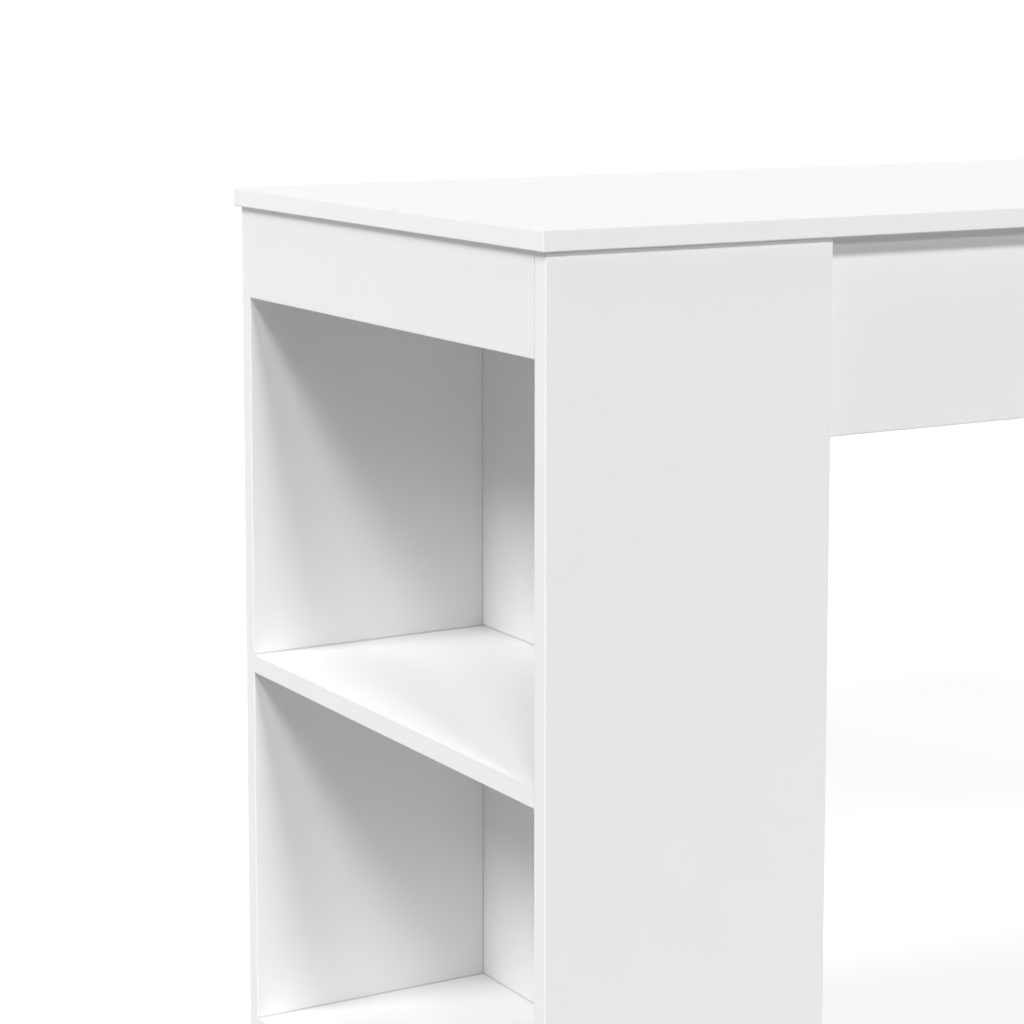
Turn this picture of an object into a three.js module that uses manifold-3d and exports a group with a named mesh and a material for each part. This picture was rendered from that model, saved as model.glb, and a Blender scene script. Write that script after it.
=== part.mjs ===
// Corner desk in white melamine-faced board: two tops that meet in an L, a shelf column that opens
// at the left end, and board end panels, all drawn together with cam locks and bolts.
// Millimetres. X runs right along the main wing, Y runs back and Z runs up.
// The origin is on the floor, under the middle of the whole outline.

import * as THREE from 'three';
import { mergeVertices } from 'three/addons/utils/BufferGeometryUtils.js';
import Module from 'manifold-3d';

const wasm = await Module();
wasm.setup();

// ------------------------------------------------------------------ driving dimensions

const mainLength = 1400;        // main wing, left to right
const mainDepth = 500;          // main wing, front to back
const returnWidth = 500;        // return wing, left to right
const returnReach = 700;        // how far the return wing stands out in front of the main wing
const boardThickness = 15;      // every panel is cut from the same board
const overhang = 5;             // the tops stand this far past the panels
const columnWidth = 240;        // side panels of the shelf column
const compartmentDepth = 220;   // open face of the column to its back panel
const compartmentHeight = 300;  // clear height of each of the two compartments
const railHeight = 75;          // rail across the top of the open face
const toeHeight = 30;           // floor to the underside of the bottom shelf
const plinthSetback = 30;       // open face to the plinth
const apronHeight = 148;        // aprons hang this far below the tops
const easeRadius = 1;           // rounding of the edge-banded arrises
const seatGap = 0.3;            // hairline where a board is seated between two others
const fitGap = 0.3;             // running clearance round every fitting

const camDiameter = 15;         // cam lock, in a blind bore in the face of a board
const camWall = 2;              // wall of the cam round its chamber
const camFloor = 3;             // board that is left under the cam bore
const camSetback = 34;          // joint face to the centre of the cam
const camSlotStart = -110;      // degrees round from the bolt to where its head drops in
const camSlotEnd = 30;          // degrees that the slot runs on past the bolt
const camCrossLength = 6.5;     // cross recess for the screwdriver
const camCrossWidth = 1.3;
const camCrossDepth = 2.4;

const threadDiameter = 5;       // end of the bolt that is screwed into the neighbouring board
const threadLength = 11;
const threadPoint = 1.5;        // taper at the tip
const collarDiameter = 7.4;     // stop collar against the joint face
const collarLength = 1.5;
const shaftDiameter = 6;
const neckDiameter = 4;         // part of the bolt that the cam's lips close round
const neckRun = 4;              // neck between the cam and the shaft
const headDiameter = 6.4;

const topFasteningInset = 75;   // end of a panel to its first fastening into the top
const apronHighDrop = 50;       // underside of the tops to the fastenings at the apron ends
const apronLowRise = 45;        // bottom edge to the fastenings from one apron to another

const glideDiameter = 14;       // plastic glide nailed under a panel
const glideHeight = 3;
const glideChamfer = 0.6;
const glideInset = 40;          // end of a panel to the centre of its glide
const pinDiameter = 3;
const pinLength = 10;

const plateThickness = 2;       // steel plate that joins the two tops from below
const plateEndGap = 25;         // plate to the return aprons
const plateEdgeGap = 2;         // plate to the front apron
const plateHoleDiameter = 4.5;
const plateHoleEdge = 9;        // centre of a hole to the long edge of the plate
const plateHolePitch = 90;

const easeFacets = 3;           // facets in each quarter round
const boreSides = 16;           // sides of a cylinder that shows
const hiddenSides = 8;          // sides of one that is buried in the board
const chamberSides = 12;
const slotFacets = 2;
const holeFacets = 5;           // facets in each half of a screw hole in the plate

// ------------------------------------------------------------------ planes of the desk

const boltAxis = boardThickness / 2;    // bolts run in the middle of a board's thickness

const right = mainLength / 2;
const left = -right;
const back = (mainDepth + returnReach) / 2;
const front = -back;
const seam = back - mainDepth;          // where the two tops meet
const returnLeft = right - returnWidth;

const openFace = left + overhang;
const columnEnd = openFace + columnWidth;
const backFace = openFace + compartmentDepth;
const backRear = backFace + boardThickness;
const columnMiddle = (openFace + columnEnd) / 2;
const shelfMiddle = (openFace + backFace) / 2;

const frontPanel = seam + overhang;
const frontInner = frontPanel + boardThickness;
const rearPanel = back - overhang;
const rearInner = rearPanel - boardThickness;
const rearApronFront = rearInner - boardThickness;

const endPanel = right - overhang;
const endInner = endPanel - boardThickness;
const outerApronInner = endInner - boardThickness;
const returnPanel = returnLeft + overhang;
const innerApronFace = returnPanel + boardThickness;
const innerApronInner = innerApronFace + boardThickness;
const returnEnd = front + overhang;
const returnEndInner = returnEnd + boardThickness;

const bottomShelf = toeHeight;
const middleShelf = bottomShelf + boardThickness + compartmentHeight;
const railBottom = middleShelf + boardThickness + compartmentHeight;
const under = railBottom + railHeight;  // underside of the tops
const surface = under + boardThickness;
const apronBottom = under - apronHeight;
const apronHigh = under - apronHighDrop;
const apronLow = apronBottom + apronLowRise;

// ------------------------------------------------------------------ solids and meshes

const RIGHT = new THREE.Vector3(1, 0, 0);
const BACK = new THREE.Vector3(0, 1, 0);
const UP = new THREE.Vector3(0, 0, 1);
const LEFT = RIGHT.clone().negate();
const FRONT = BACK.clone().negate();
const DOWN = UP.clone().negate();
const AXES = { x: RIGHT, y: BACK, z: UP };

const finishes = {
  board: { color: 0xf4f5f4, roughness: 0.42, metalness: 0 },
  zinc: { color: 0xa9abad, roughness: 0.45, metalness: 0.9 },
  steel: { color: 0xb9bbbd, roughness: 0.35, metalness: 1 },
  plastic: { color: 0xe8e8e6, roughness: 0.6, metalness: 0 },
};

const desk = new THREE.Group();

// Adds one named piece in its own material. `frame` places a piece that is drawn at the origin.
function add(name, geometry, finish, frame = new THREE.Matrix4()) {
  const mesh = new THREE.Mesh(geometry, new THREE.MeshStandardMaterial(finishes[finish]));
  mesh.name = name;
  mesh.applyMatrix4(frame);
  desk.add(mesh);
}

// A closed three.js geometry as a solid that can be cut and joined.
function solid(geometry) {
  const bare = new THREE.BufferGeometry();
  bare.setAttribute('position', geometry.getAttribute('position'));
  bare.setIndex(geometry.getIndex());
  const merged = mergeVertices(bare);
  const mesh = new wasm.Mesh({
    numProp: 3,
    vertProperties: merged.getAttribute('position').array,
    triVerts: new Uint32Array(merged.getIndex().array),
  });
  return new wasm.Manifold(mesh);
}

// A solid as a three.js geometry, with a flat normal on each facet.
function geometryOf(shape) {
  const { vertProperties, triVerts } = shape.getMesh();
  const indexed = new THREE.BufferGeometry();
  indexed.setAttribute('position', new THREE.BufferAttribute(vertProperties, 3));
  indexed.setIndex(new THREE.BufferAttribute(triVerts, 1));
  const flat = indexed.toNonIndexed();
  flat.computeVertexNormals();
  return flat;
}

// ------------------------------------------------------------------ boards

// Corners of a section in walking order: [low or high on its first axis, the same on its second].
const LOW_LOW = [0, 0];
const HIGH_LOW = [1, 0];
const HIGH_HIGH = [1, 1];
const LOW_HIGH = [0, 1];
const ALL = [LOW_LOW, HIGH_LOW, HIGH_HIGH, LOW_HIGH];

// A rectangle with a quarter round on each corner that is in `eased`.
function section(low, high, eased) {
  const points = ALL.flatMap((corner, turn) => {
    const at = corner.map((side, axis) => (side ? high[axis] : low[axis]));
    if (!eased.includes(corner)) return [new THREE.Vector2(...at)];
    const centre = at.map((value, axis) => value + (corner[axis] ? -easeRadius : easeRadius));
    return Array.from({ length: easeFacets + 1 }, (_, step) => {
      const angle = Math.PI + (turn + step / easeFacets) * (Math.PI / 2);
      return new THREE.Vector2(
        centre[0] + easeRadius * Math.cos(angle),
        centre[1] + easeRadius * Math.sin(angle),
      );
    });
  });
  return new THREE.Shape(points);
}

// A board's section, drawn out along one axis from one corner of the board to the other.
function prism(along, from, to, eased) {
  const run = 'xyz'.indexOf(along);
  const [first, second] = [(run + 1) % 3, (run + 2) % 3];
  const outline = section([from[first], from[second]], [to[first], to[second]], eased);
  const drawn = new THREE.ExtrudeGeometry(outline, { depth: 1, bevelEnabled: false });
  const axes = Object.values(AXES);
  const stretch = axes[run].clone().multiplyScalar(to[run] - from[run]);
  const place = new THREE.Matrix4().makeBasis(axes[first], axes[second], stretch);
  place.setPosition(axes[run].clone().multiplyScalar(from[run]));
  return solid(drawn.applyMatrix4(place));
}

// A board between two corners. `eased` names the arrises with a round: for each axis they run
// along, the corners of the section across it, whose axes follow in the order x, y, z, x.
function board(from, to, eased = { z: [] }) {
  return Object.entries(eased)
    .map(([along, corners]) => prism(along, from, to, corners))
    .reduce((sum, next) => sum.intersect(next));
}

const EVERY_EDGE = { x: ALL, y: ALL, z: ALL };
const UPRIGHT_EDGES = { z: ALL };
const LOWER_EDGES_X = { x: [LOW_LOW, HIGH_LOW] };
const LOWER_EDGES_Y = { y: [LOW_LOW, LOW_HIGH] };
const SHELF_FRONT_EDGES = { y: [LOW_LOW, HIGH_LOW] };

const shelfFrom = frontInner + seatGap;
const shelfTo = rearInner - seatGap;

// A board of the column that runs from one side panel to the other.
function crossBoard(fromX, toX, fromZ, toZ, eased) {
  return board([fromX, shelfFrom, fromZ], [toX, shelfTo, toZ], eased);
}

// A shelf whose front edge is flush with the open face of the column.
function shelf(height) {
  const depthEnd = backFace - seatGap;
  return crossBoard(openFace, depthEnd, height, height + boardThickness, SHELF_FRONT_EDGES);
}

// A side panel of the column, from its front face.
function columnSide(face) {
  const from = [openFace, face, glideHeight];
  return board(from, [columnEnd, face + boardThickness, under], UPRIGHT_EDGES);
}

// An apron along the main wing, from the column to the right end panel.
function longApron(face) {
  const from = [backRear, face, apronBottom];
  return board(from, [endInner, face + boardThickness, under], LOWER_EDGES_X);
}

// An apron along the return wing, from its end panel to the front apron.
function returnApron(face) {
  const from = [face, returnEndInner, apronBottom];
  return board(from, [face + boardThickness, frontInner, under], LOWER_EDGES_Y);
}

const plinthFace = openFace + plinthSetback;

const boards = {
  main_top: board([left, seam, under], [right, back, surface], EVERY_EDGE),
  return_top: board([returnLeft, front, under], [right, seam, surface], EVERY_EDGE),
  shelf_side_front: columnSide(frontPanel),
  shelf_side_rear: columnSide(rearInner),
  shelf_back: crossBoard(backFace, backRear, glideHeight, under),
  shelf_top_rail: crossBoard(
    openFace, openFace + boardThickness, railBottom, under, LOWER_EDGES_Y),
  middle_shelf: shelf(middleShelf),
  bottom_shelf: shelf(bottomShelf),
  plinth: crossBoard(plinthFace, plinthFace + boardThickness, glideHeight, bottomShelf),
  front_apron: longApron(frontInner),
  rear_apron: longApron(rearApronFront),
  right_end_panel: board(
    [endInner, frontPanel, glideHeight], [endPanel, rearPanel, under], UPRIGHT_EDGES),
  return_end_panel: board(
    [returnPanel, returnEnd, glideHeight], [endPanel, returnEndInner, under], UPRIGHT_EDGES),
  return_apron_inner: returnApron(innerApronFace),
  return_apron_outer: returnApron(outerApronInner),
};

function cut(name, geometry) {
  boards[name] = boards[name].subtract(solid(geometry));
}

// ------------------------------------------------------------------ cams and bolts
// A fitting is drawn round the centre of its cam: x runs along the bolt into the neighbouring
// board, and z runs out of the face that the cam is let into.

// A cylinder along x or z, from one distance to the other.
function rod(axis, diameter, from, to, sides) {
  const drawn = new THREE.CylinderGeometry(diameter / 2, diameter / 2, to - from, sides);
  if (axis === 'x') drawn.rotateZ(-Math.PI / 2);
  else drawn.rotateX(Math.PI / 2);
  return drawn.translate(...AXES[axis].clone().multiplyScalar((from + to) / 2).toArray());
}

const headRoom = headDiameter + 2 * fitGap;
const neckRoom = neckDiameter + 2 * fitGap;
const camBody = camDiameter - 2 * fitGap;
const boreBottom = camFloor - boltAxis;
const camTop = boltAxis - fitGap;
const pastFace = 1;             // cuts run this far out of the wood

// The pie-shaped cut that lets the neck of the bolt round the wall of the cam.
function camSlot() {
  const pie = new THREE.Shape();
  const [start, end] = [camSlotStart, camSlotEnd].map(THREE.MathUtils.degToRad);
  pie.absarc(0, 0, camDiameter, start, end);
  pie.lineTo(0, 0);
  const depth = { depth: neckRoom, bevelEnabled: false, curveSegments: slotFacets };
  return new THREE.ExtrudeGeometry(pie, depth).translate(0, 0, -neckRoom / 2);
}

// The cross recess in the face of the cam.
function camCross() {
  const [long, wide] = [camCrossLength / 2, camCrossWidth / 2];
  const quarter = [[long, -wide], [long, wide], [wide, wide]];
  const outline = [0, 1, 2, 3].flatMap((turn) => quarter.map(([x, y]) =>
    new THREE.Vector2(x, y).rotateAround(new THREE.Vector2(), turn * (Math.PI / 2))));
  const depth = { depth: camCrossDepth + pastFace, bevelEnabled: false };
  return new THREE.ExtrudeGeometry(new THREE.Shape(outline), depth)
    .translate(0, 0, camTop - camCrossDepth);
}

// The cam: a drum with a chamber that is open below, a mouth for the head and a slot for the neck.
function camLock() {
  const body = solid(rod('z', camBody, boreBottom + fitGap, camTop, boreSides));
  const mouth = rod('x', headRoom, 0, camDiameter, hiddenSides);
  return [
    rod('z', camBody - 2 * camWall, boreBottom - pastFace, headRoom / 2, chamberSides),
    mouth.rotateZ(THREE.MathUtils.degToRad(camSlotStart)),
    camSlot(),
    camCross(),
  ].reduce((sum, part) => sum.subtract(solid(part)), body);
}

// The bolt: ball head, neck, shaft, stop collar and the end that is screwed in.
function camBolt() {
  const head = headDiameter / 2;
  const neck = neckDiameter / 2;
  const shaft = shaftDiameter / 2;
  const collar = collarDiameter / 2;
  const thread = threadDiameter / 2;
  const neckEnd = camDiameter / 2 + neckRun;
  const collarEnd = camSetback - fitGap;
  const tip = camSetback + threadLength;
  const profile = [
    [0, -head], [head * Math.SQRT1_2, -head * Math.SQRT1_2], [head, 0],
    [neck, Math.sqrt(head ** 2 - neck ** 2)], [neck, neckEnd],
    [shaft, neckEnd + shaft - neck], [shaft, collarEnd - collarLength],
    [collar, collarEnd - collarLength], [collar, collarEnd],
    [thread, collarEnd], [thread, tip - threadPoint], [thread / 2, tip], [0, tip],
  ].map(([radius, along]) => new THREE.Vector2(radius, along));
  return solid(new THREE.LatheGeometry(profile, hiddenSides).rotateZ(-Math.PI / 2));
}

const camBore = rod('z', camDiameter, boreBottom, boltAxis + pastFace, boreSides);
const edgeBore = rod('x', collarDiameter + 2 * fitGap, 0, camSetback + pastFace, hiddenSides);
const threadHole = rod('x', threadDiameter + 2 * fitGap,
  camSetback - pastFace, camSetback + threadLength + fitGap, hiddenSides);
const camGeometry = geometryOf(camLock());
const boltGeometry = geometryOf(camBolt());

// One fastening: `joint` is the point on the joint face that the bolt passes through.
function fasten(name, holder, neighbour, joint, along, face) {
  const frame = new THREE.Matrix4().makeBasis(along, face.clone().cross(along), face);
  frame.setPosition(new THREE.Vector3(...joint).addScaledVector(along, -camSetback));
  cut(holder, camBore.clone().applyMatrix4(frame));
  cut(holder, edgeBore.clone().applyMatrix4(frame));
  cut(neighbour, threadHole.clone().applyMatrix4(frame));
  add(`cam_${name}`, camGeometry, 'zinc', frame);
  add(`bolt_${name}`, boltGeometry, 'steel', frame);
}

const frontAxis = frontPanel + boltAxis;
const rearAxis = rearInner + boltAxis;
fasten('column_front_top', 'shelf_side_front', 'main_top',
  [columnMiddle, frontAxis, under], UP, BACK);
fasten('column_rear_top', 'shelf_side_rear', 'main_top',
  [columnMiddle, rearAxis, under], UP, FRONT);

for (const [place, y] of [
  ['front', frontPanel + topFasteningInset],
  ['rear', rearPanel - topFasteningInset],
]) {
  fasten(`end_panel_${place}_top`, 'right_end_panel', 'main_top',
    [endInner + boltAxis, y, under], UP, LEFT);
}

for (const [place, x] of [
  ['left', returnPanel + topFasteningInset],
  ['right', endPanel - topFasteningInset],
]) {
  fasten(`return_panel_${place}_top`, 'return_end_panel', 'return_top',
    [x, returnEnd + boltAxis, under], UP, BACK);
}

for (const [name, axis, face] of [
  ['front_apron', frontInner + boltAxis, BACK],
  ['rear_apron', rearApronFront + boltAxis, FRONT],
]) {
  fasten(`${name}_left`, name, 'shelf_back', [backRear, axis, apronHigh], LEFT, face);
  fasten(`${name}_right`, name, 'right_end_panel', [endInner, axis, apronHigh], RIGHT, face);
}

for (const [name, axis, face] of [
  ['return_apron_inner', innerApronFace + boltAxis, RIGHT],
  ['return_apron_outer', outerApronInner + boltAxis, LEFT],
]) {
  fasten(`${name}_end`, name, 'return_end_panel', [axis, returnEndInner, apronHigh], FRONT, face);
  fasten(`${name}_corner`, name, 'front_apron', [axis, frontInner, apronLow], BACK, face);
}

for (const [name, height] of [['middle_shelf', middleShelf], ['bottom_shelf', bottomShelf]]) {
  const axis = height + boltAxis;
  fasten(`${name}_front`, name, 'shelf_side_front', [shelfMiddle, frontInner, axis], FRONT, DOWN);
  fasten(`${name}_rear`, name, 'shelf_side_rear', [shelfMiddle, rearInner, axis], BACK, DOWN);
}

// ------------------------------------------------------------------ glides

// A glide: a chamfered disc with the pin that is driven up into the panel.
function glide() {
  const disc = glideDiameter / 2;
  const pin = pinDiameter / 2;
  const profile = [
    [0, 0], [disc - glideChamfer, 0], [disc, glideChamfer], [disc, glideHeight],
    [pin, glideHeight], [pin, glideHeight + pinLength], [0, glideHeight + pinLength],
  ].map(([radius, height]) => new THREE.Vector2(radius, height));
  return solid(new THREE.LatheGeometry(profile, boreSides).rotateX(Math.PI / 2));
}

const glideGeometry = geometryOf(glide());
const pinHole = rod('z', pinDiameter + 2 * fitGap,
  glideHeight - pastFace, glideHeight + pinLength + fitGap, hiddenSides);

function addGlide(name, holder, x, y) {
  const frame = new THREE.Matrix4().makeTranslation(x, y, 0);
  cut(holder, pinHole.clone().applyMatrix4(frame));
  add(`glide_${name}`, glideGeometry, 'plastic', frame);
}

for (const [place, y] of [['front', frontAxis], ['rear', rearAxis]]) {
  addGlide(`column_${place}_left`, `shelf_side_${place}`, openFace + glideInset, y);
  addGlide(`column_${place}_right`, `shelf_side_${place}`, columnEnd - glideInset, y);
}
addGlide('end_panel_front', 'right_end_panel', endInner + boltAxis, frontPanel + glideInset);
addGlide('end_panel_rear', 'right_end_panel', endInner + boltAxis, rearPanel - glideInset);
addGlide('return_panel_left', 'return_end_panel', returnPanel + glideInset, returnEnd + boltAxis);
addGlide('return_panel_right', 'return_end_panel', endPanel - glideInset, returnEnd + boltAxis);

// ------------------------------------------------------------------ joining plate

// The plate under the seam, with a row of screw holes on each side of it.
function joiningPlate() {
  const from = innerApronInner + plateEndGap;
  const to = outerApronInner - plateEndGap;
  const reach = frontInner - plateEdgeGap - seam;
  const outline = section([from, seam - reach], [to, seam + reach], ALL);
  const middle = (from + to) / 2;
  const pairs = Math.floor((to - from - 2 * plateHoleEdge) / plateHolePitch);
  for (let hole = 0; hole <= pairs; hole += 1) {
    const x = middle + (hole - pairs / 2) * plateHolePitch;
    for (const y of [seam - reach + plateHoleEdge, seam + reach - plateHoleEdge]) {
      outline.holes.push(new THREE.Path().absarc(x, y, plateHoleDiameter / 2, 0, 2 * Math.PI));
    }
  }
  const options = { depth: 1, bevelEnabled: false, curveSegments: holeFacets };
  const drawn = new THREE.ExtrudeGeometry(outline, options);
  return drawn.scale(1, 1, plateThickness).translate(0, 0, under - plateThickness);
}

// ------------------------------------------------------------------ the desk

for (const [name, shape] of Object.entries(boards)) add(name, geometryOf(shape), 'board');
add('top_joining_plate', geometryOf(solid(joiningPlate())), 'steel');

export default desk;
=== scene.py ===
# %% [markdown]
# # A corner desk in white board
#
# The desk is flat-pack furniture. Two tops meet in an L, a column of open shelves carries the left
# end, plain board panels carry the other ends, and aprons tie them together under the tops. Every
# board is 15 mm chipboard faced with white melamine, and cam locks draw the joints tight. This
# lesson starts from the desk's exact solids, sets up the camera and the light, gives each board the
# faces, edge bands and raw edges of the real one, and models the small fittings by hand.

# %% [markdown]
# ## The desk's solids
#
# Most boards stay as they are, because a saw gives them this shape and nothing else would be
# better.

import math

import bmesh
import bpy
from mathutils import Matrix, Vector


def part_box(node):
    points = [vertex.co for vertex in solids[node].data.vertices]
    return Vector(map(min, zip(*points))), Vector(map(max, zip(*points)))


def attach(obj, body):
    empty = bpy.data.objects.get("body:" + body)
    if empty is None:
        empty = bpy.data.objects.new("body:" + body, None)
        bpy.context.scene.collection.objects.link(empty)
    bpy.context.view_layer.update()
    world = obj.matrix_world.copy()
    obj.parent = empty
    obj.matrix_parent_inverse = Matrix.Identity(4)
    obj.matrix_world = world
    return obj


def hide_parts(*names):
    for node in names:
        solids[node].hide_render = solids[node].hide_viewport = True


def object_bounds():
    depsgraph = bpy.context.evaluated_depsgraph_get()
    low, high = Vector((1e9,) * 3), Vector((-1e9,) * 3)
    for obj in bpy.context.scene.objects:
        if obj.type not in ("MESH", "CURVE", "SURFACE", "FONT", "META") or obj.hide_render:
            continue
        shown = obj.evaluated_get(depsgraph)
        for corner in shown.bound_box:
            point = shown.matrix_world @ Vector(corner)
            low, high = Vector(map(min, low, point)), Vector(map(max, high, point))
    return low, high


MM = 0.001

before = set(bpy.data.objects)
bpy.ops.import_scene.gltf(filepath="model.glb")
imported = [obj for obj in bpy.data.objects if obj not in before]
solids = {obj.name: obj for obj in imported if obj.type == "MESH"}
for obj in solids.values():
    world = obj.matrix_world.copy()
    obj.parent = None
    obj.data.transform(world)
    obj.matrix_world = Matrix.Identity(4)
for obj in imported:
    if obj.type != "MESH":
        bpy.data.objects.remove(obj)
cad_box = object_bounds()
cams = sorted(name for name in solids if name.startswith("cam_"))
bolts = sorted(name for name in solids if name.startswith("bolt_"))
glides = sorted(name for name in solids if name.startswith("glide_"))
print(f"{len(solids)} solids: {len(cams)} cams, {len(bolts)} bolts and {len(glides)} glides")

# %% [markdown]
# ## The camera
#
# The desk is seen from the front left, from just above the height of its top, with a long lens.
# A camera could be aimed at the desk and tilted down, but then upright edges lean. Shifting the
# lens down instead keeps them upright, as on an architect's view camera. Here part of the way down
# is tilt and the rest a modest shift, because a view from another side keeps the shift and has to
# have the whole desk in it. The camera's place is measured from the near corner of the main top.

# %% Place the camera
CAMERA_FROM_CORNER = Vector((-957.7, -1610.6, 154.1)) * MM
CAMERA_YAW = math.radians(30.10)
CAMERA_TILT = math.radians(6.793)
LENS_LENGTH = 98.48
LENS_SHIFT = -0.175
FAR_CLIP = 1000.0

top_low, top_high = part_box("main_top")
near_corner = Vector((top_low.x, top_low.y, top_high.z))
lens = bpy.data.cameras.new("camera")
lens.lens = LENS_LENGTH
lens.shift_y = LENS_SHIFT
lens.clip_end = FAR_CLIP
camera = bpy.data.objects.new("camera", lens)
camera.location = near_corner + CAMERA_FROM_CORNER
camera.rotation_euler = (math.pi / 2 - CAMERA_TILT, 0, -CAMERA_YAW)
bpy.context.scene.collection.objects.link(camera)
bpy.context.scene.camera = camera
bpy.context.scene.view_settings.view_transform = "Standard"
print(f"camera {camera.location.z:.3f} m above the floor, {lens.lens:.1f} mm lens")

# %% [markdown]
# ## Shader maths as Python
#
# A procedural material is a network of nodes. Drawn by hand it is boxes and wires, and in Python it
# is mostly lines that add a Math node and connect it. Two small classes keep that readable: a
# `Wire` is an output that can be added, multiplied and compared like a number, and a `Bench` adds
# any other node, with its settings first and then the value or wire of each of its sockets.


# %% Wires and the bench
class Wire:
    """An output of a node. Sums and comparisons on it add the Math nodes that work them out."""

    def __init__(self, bench, socket):
        self.bench, self.socket = bench, socket

    def math(self, operation, first, second=0.0):
        made = self.bench.node("ShaderNodeMath", {"operation": operation}, {0: first, 1: second})
        return made["Value"]

    def __add__(self, other):
        return self.math("ADD", self, other)

    def __radd__(self, other):
        return self.math("ADD", other, self)

    def __sub__(self, other):
        return self.math("SUBTRACT", self, other)

    def __rsub__(self, other):
        return self.math("SUBTRACT", other, self)

    def __mul__(self, other):
        return self.math("MULTIPLY", self, other)

    def __rmul__(self, other):
        return self.math("MULTIPLY", other, self)

    def __gt__(self, other):
        return self.math("GREATER_THAN", self, other)

    def __lt__(self, other):
        return self.math("LESS_THAN", self, other)

    def __abs__(self):
        return self.math("ABSOLUTE", self)

    def least(self, other):
        return self.math("MINIMUM", self, other)

    def most(self, other):
        return self.math("MAXIMUM", self, other)

    def between(self, low, high):
        """A number from `low` to `high`, for a wire that goes from 0 to 1."""
        return self * (high - low) + low


class Bench:
    """A node tree to build in."""

    def __init__(self, tree):
        self.tree = tree

    def node(self, kind, settings=None, sockets=None):
        """Adds a node and returns its outputs by name. Sockets go by name, or by number."""
        made = self.tree.nodes.new(kind)
        for setting, value in (settings or {}).items():
            if setting == "stops":
                self.set_stops(made.color_ramp, value)
            else:
                setattr(made, setting, value)
        named = {socket.name: socket for socket in made.inputs if socket.enabled}
        for key, value in (sockets or {}).items():
            socket = made.inputs[key] if isinstance(key, int) else named[key]
            self.feed(socket, value)
        return {socket.name: Wire(self, socket) for socket in made.outputs if socket.enabled}

    def feed(self, socket, value):
        if isinstance(value, Wire):
            self.tree.links.new(value.socket, socket)
        else:
            socket.default_value = value

    def set_stops(self, ramp, stops):
        while len(ramp.elements) < len(stops):
            ramp.elements.new(1.0)
        for element, (place, colour) in zip(ramp.elements, stops):
            element.position, element.color = place, colour


def paint(red, green, blue):
    """A colour as it looks on screen, 0 to 255, as the linear numbers that a shader takes."""
    linear = [((value / 255 + 0.055) / 1.055) ** 2.4 for value in (red, green, blue)]
    return (*linear, 1.0)


print("paint(255, 255, 255) is", [round(value, 3) for value in paint(255, 255, 255)])

# %% [markdown]
# ## Background and floor
#
# The desk stands in a white studio. Making everything white with more light would also wash out the
# desk, so the light stays at a plain level and only what the camera sees is white: `Is Camera Ray`
# picks those rays out, with the glossy and transmission rays, so that metal shows the same white.
# For all other rays the room is dark and the floor is an ordinary pale grey, which gives soft light
# back to the desk's undersides. Seen by the camera the floor glows a little besides. That takes the
# lit floor to white and leaves the desk's shadow faint.


# %% Background and floor
FLOOR_HALF = 400.0
FLOOR_GREY = paint(160, 160, 160)
FLOOR_GLOW = 0.74


def seen_directly(bench):
    """1 for what the camera sees, straight or by a reflection, and 0 for light on its way."""
    ray = bench.node("ShaderNodeLightPath")
    return ray["Is Camera Ray"].most(ray["Is Glossy Ray"]).most(ray["Is Transmission Ray"])


studio = bpy.data.worlds.new("studio")
studio.use_nodes = True
bpy.context.scene.world = studio
studio.node_tree.nodes.clear()
sky = Bench(studio.node_tree)
white = sky.node("ShaderNodeBackground", {}, {"Color": (1, 1, 1, 1), "Strength": 1.0})
backdrop = sky.node("ShaderNodeMixShader", {}, {0: seen_directly(sky), 2: white["Background"]})
sky.node("ShaderNodeOutputWorld", {}, {"Surface": backdrop["Shader"]})

floor_paint = bpy.data.materials.new("studio_floor")
floor_paint.use_nodes = True
floor_paint.node_tree.nodes.clear()
ground = Bench(floor_paint.node_tree)
matt = ground.node("ShaderNodeBsdfDiffuse", {}, {"Color": FLOOR_GREY})
glow = ground.node("ShaderNodeEmission", {}, {"Color": (1, 1, 1, 1), "Strength": FLOOR_GLOW})
bright = ground.node("ShaderNodeAddShader", {}, {0: matt["BSDF"], 1: glow["Emission"]})
shown = ground.node("ShaderNodeMixShader", {},
                    {0: seen_directly(ground), 1: matt["BSDF"], 2: bright["Shader"]})
ground.node("ShaderNodeOutputMaterial", {}, {"Surface": shown["Shader"]})

bpy.ops.object.select_all(action="DESELECT")
bpy.ops.mesh.primitive_plane_add(size=2 * FLOOR_HALF, location=(0, 0, cad_box[0].z))
floor = bpy.context.object
floor.name = "studio_floor"
floor.data.materials.append(floor_paint)
print(f"floor {2 * FLOOR_HALF:.0f} m square at height {cad_box[0].z:.3f} m")

# %% [markdown]
# ## The lamps
#
# Soft lamps stand round the desk: a low one to the right of the camera, a pair at the front left, a
# broad one at the left that reaches into the shelves, and weak ones behind and at the right, so
# that no side is left dark. Sun lamps are used because their light is as strong everywhere, which
# keeps a large floor even. Each lamp's place is two angles: how far round from straight in front,
# towards the left, and how far up from the floor. Its spread is how wide it looks from the desk,
# and so how soft its shadows are.

# %% Hang the lamps
LAMPS = {
    "front_low": {"round": -25, "up": 18.8, "spread": 5, "strength": 0.58},
    "front": {"round": 6, "up": 39.6, "spread": 8, "strength": 1.1},
    "front_left": {"round": 25, "up": 37, "spread": 10, "strength": 0.97},
    "left": {"round": 92, "up": 46.5, "spread": 22, "strength": 2.3},
    "behind": {"round": 155, "up": 6, "spread": 25, "strength": 0.8},
    "right": {"round": 270, "up": 6, "spread": 25, "strength": 0.9},
}

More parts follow.
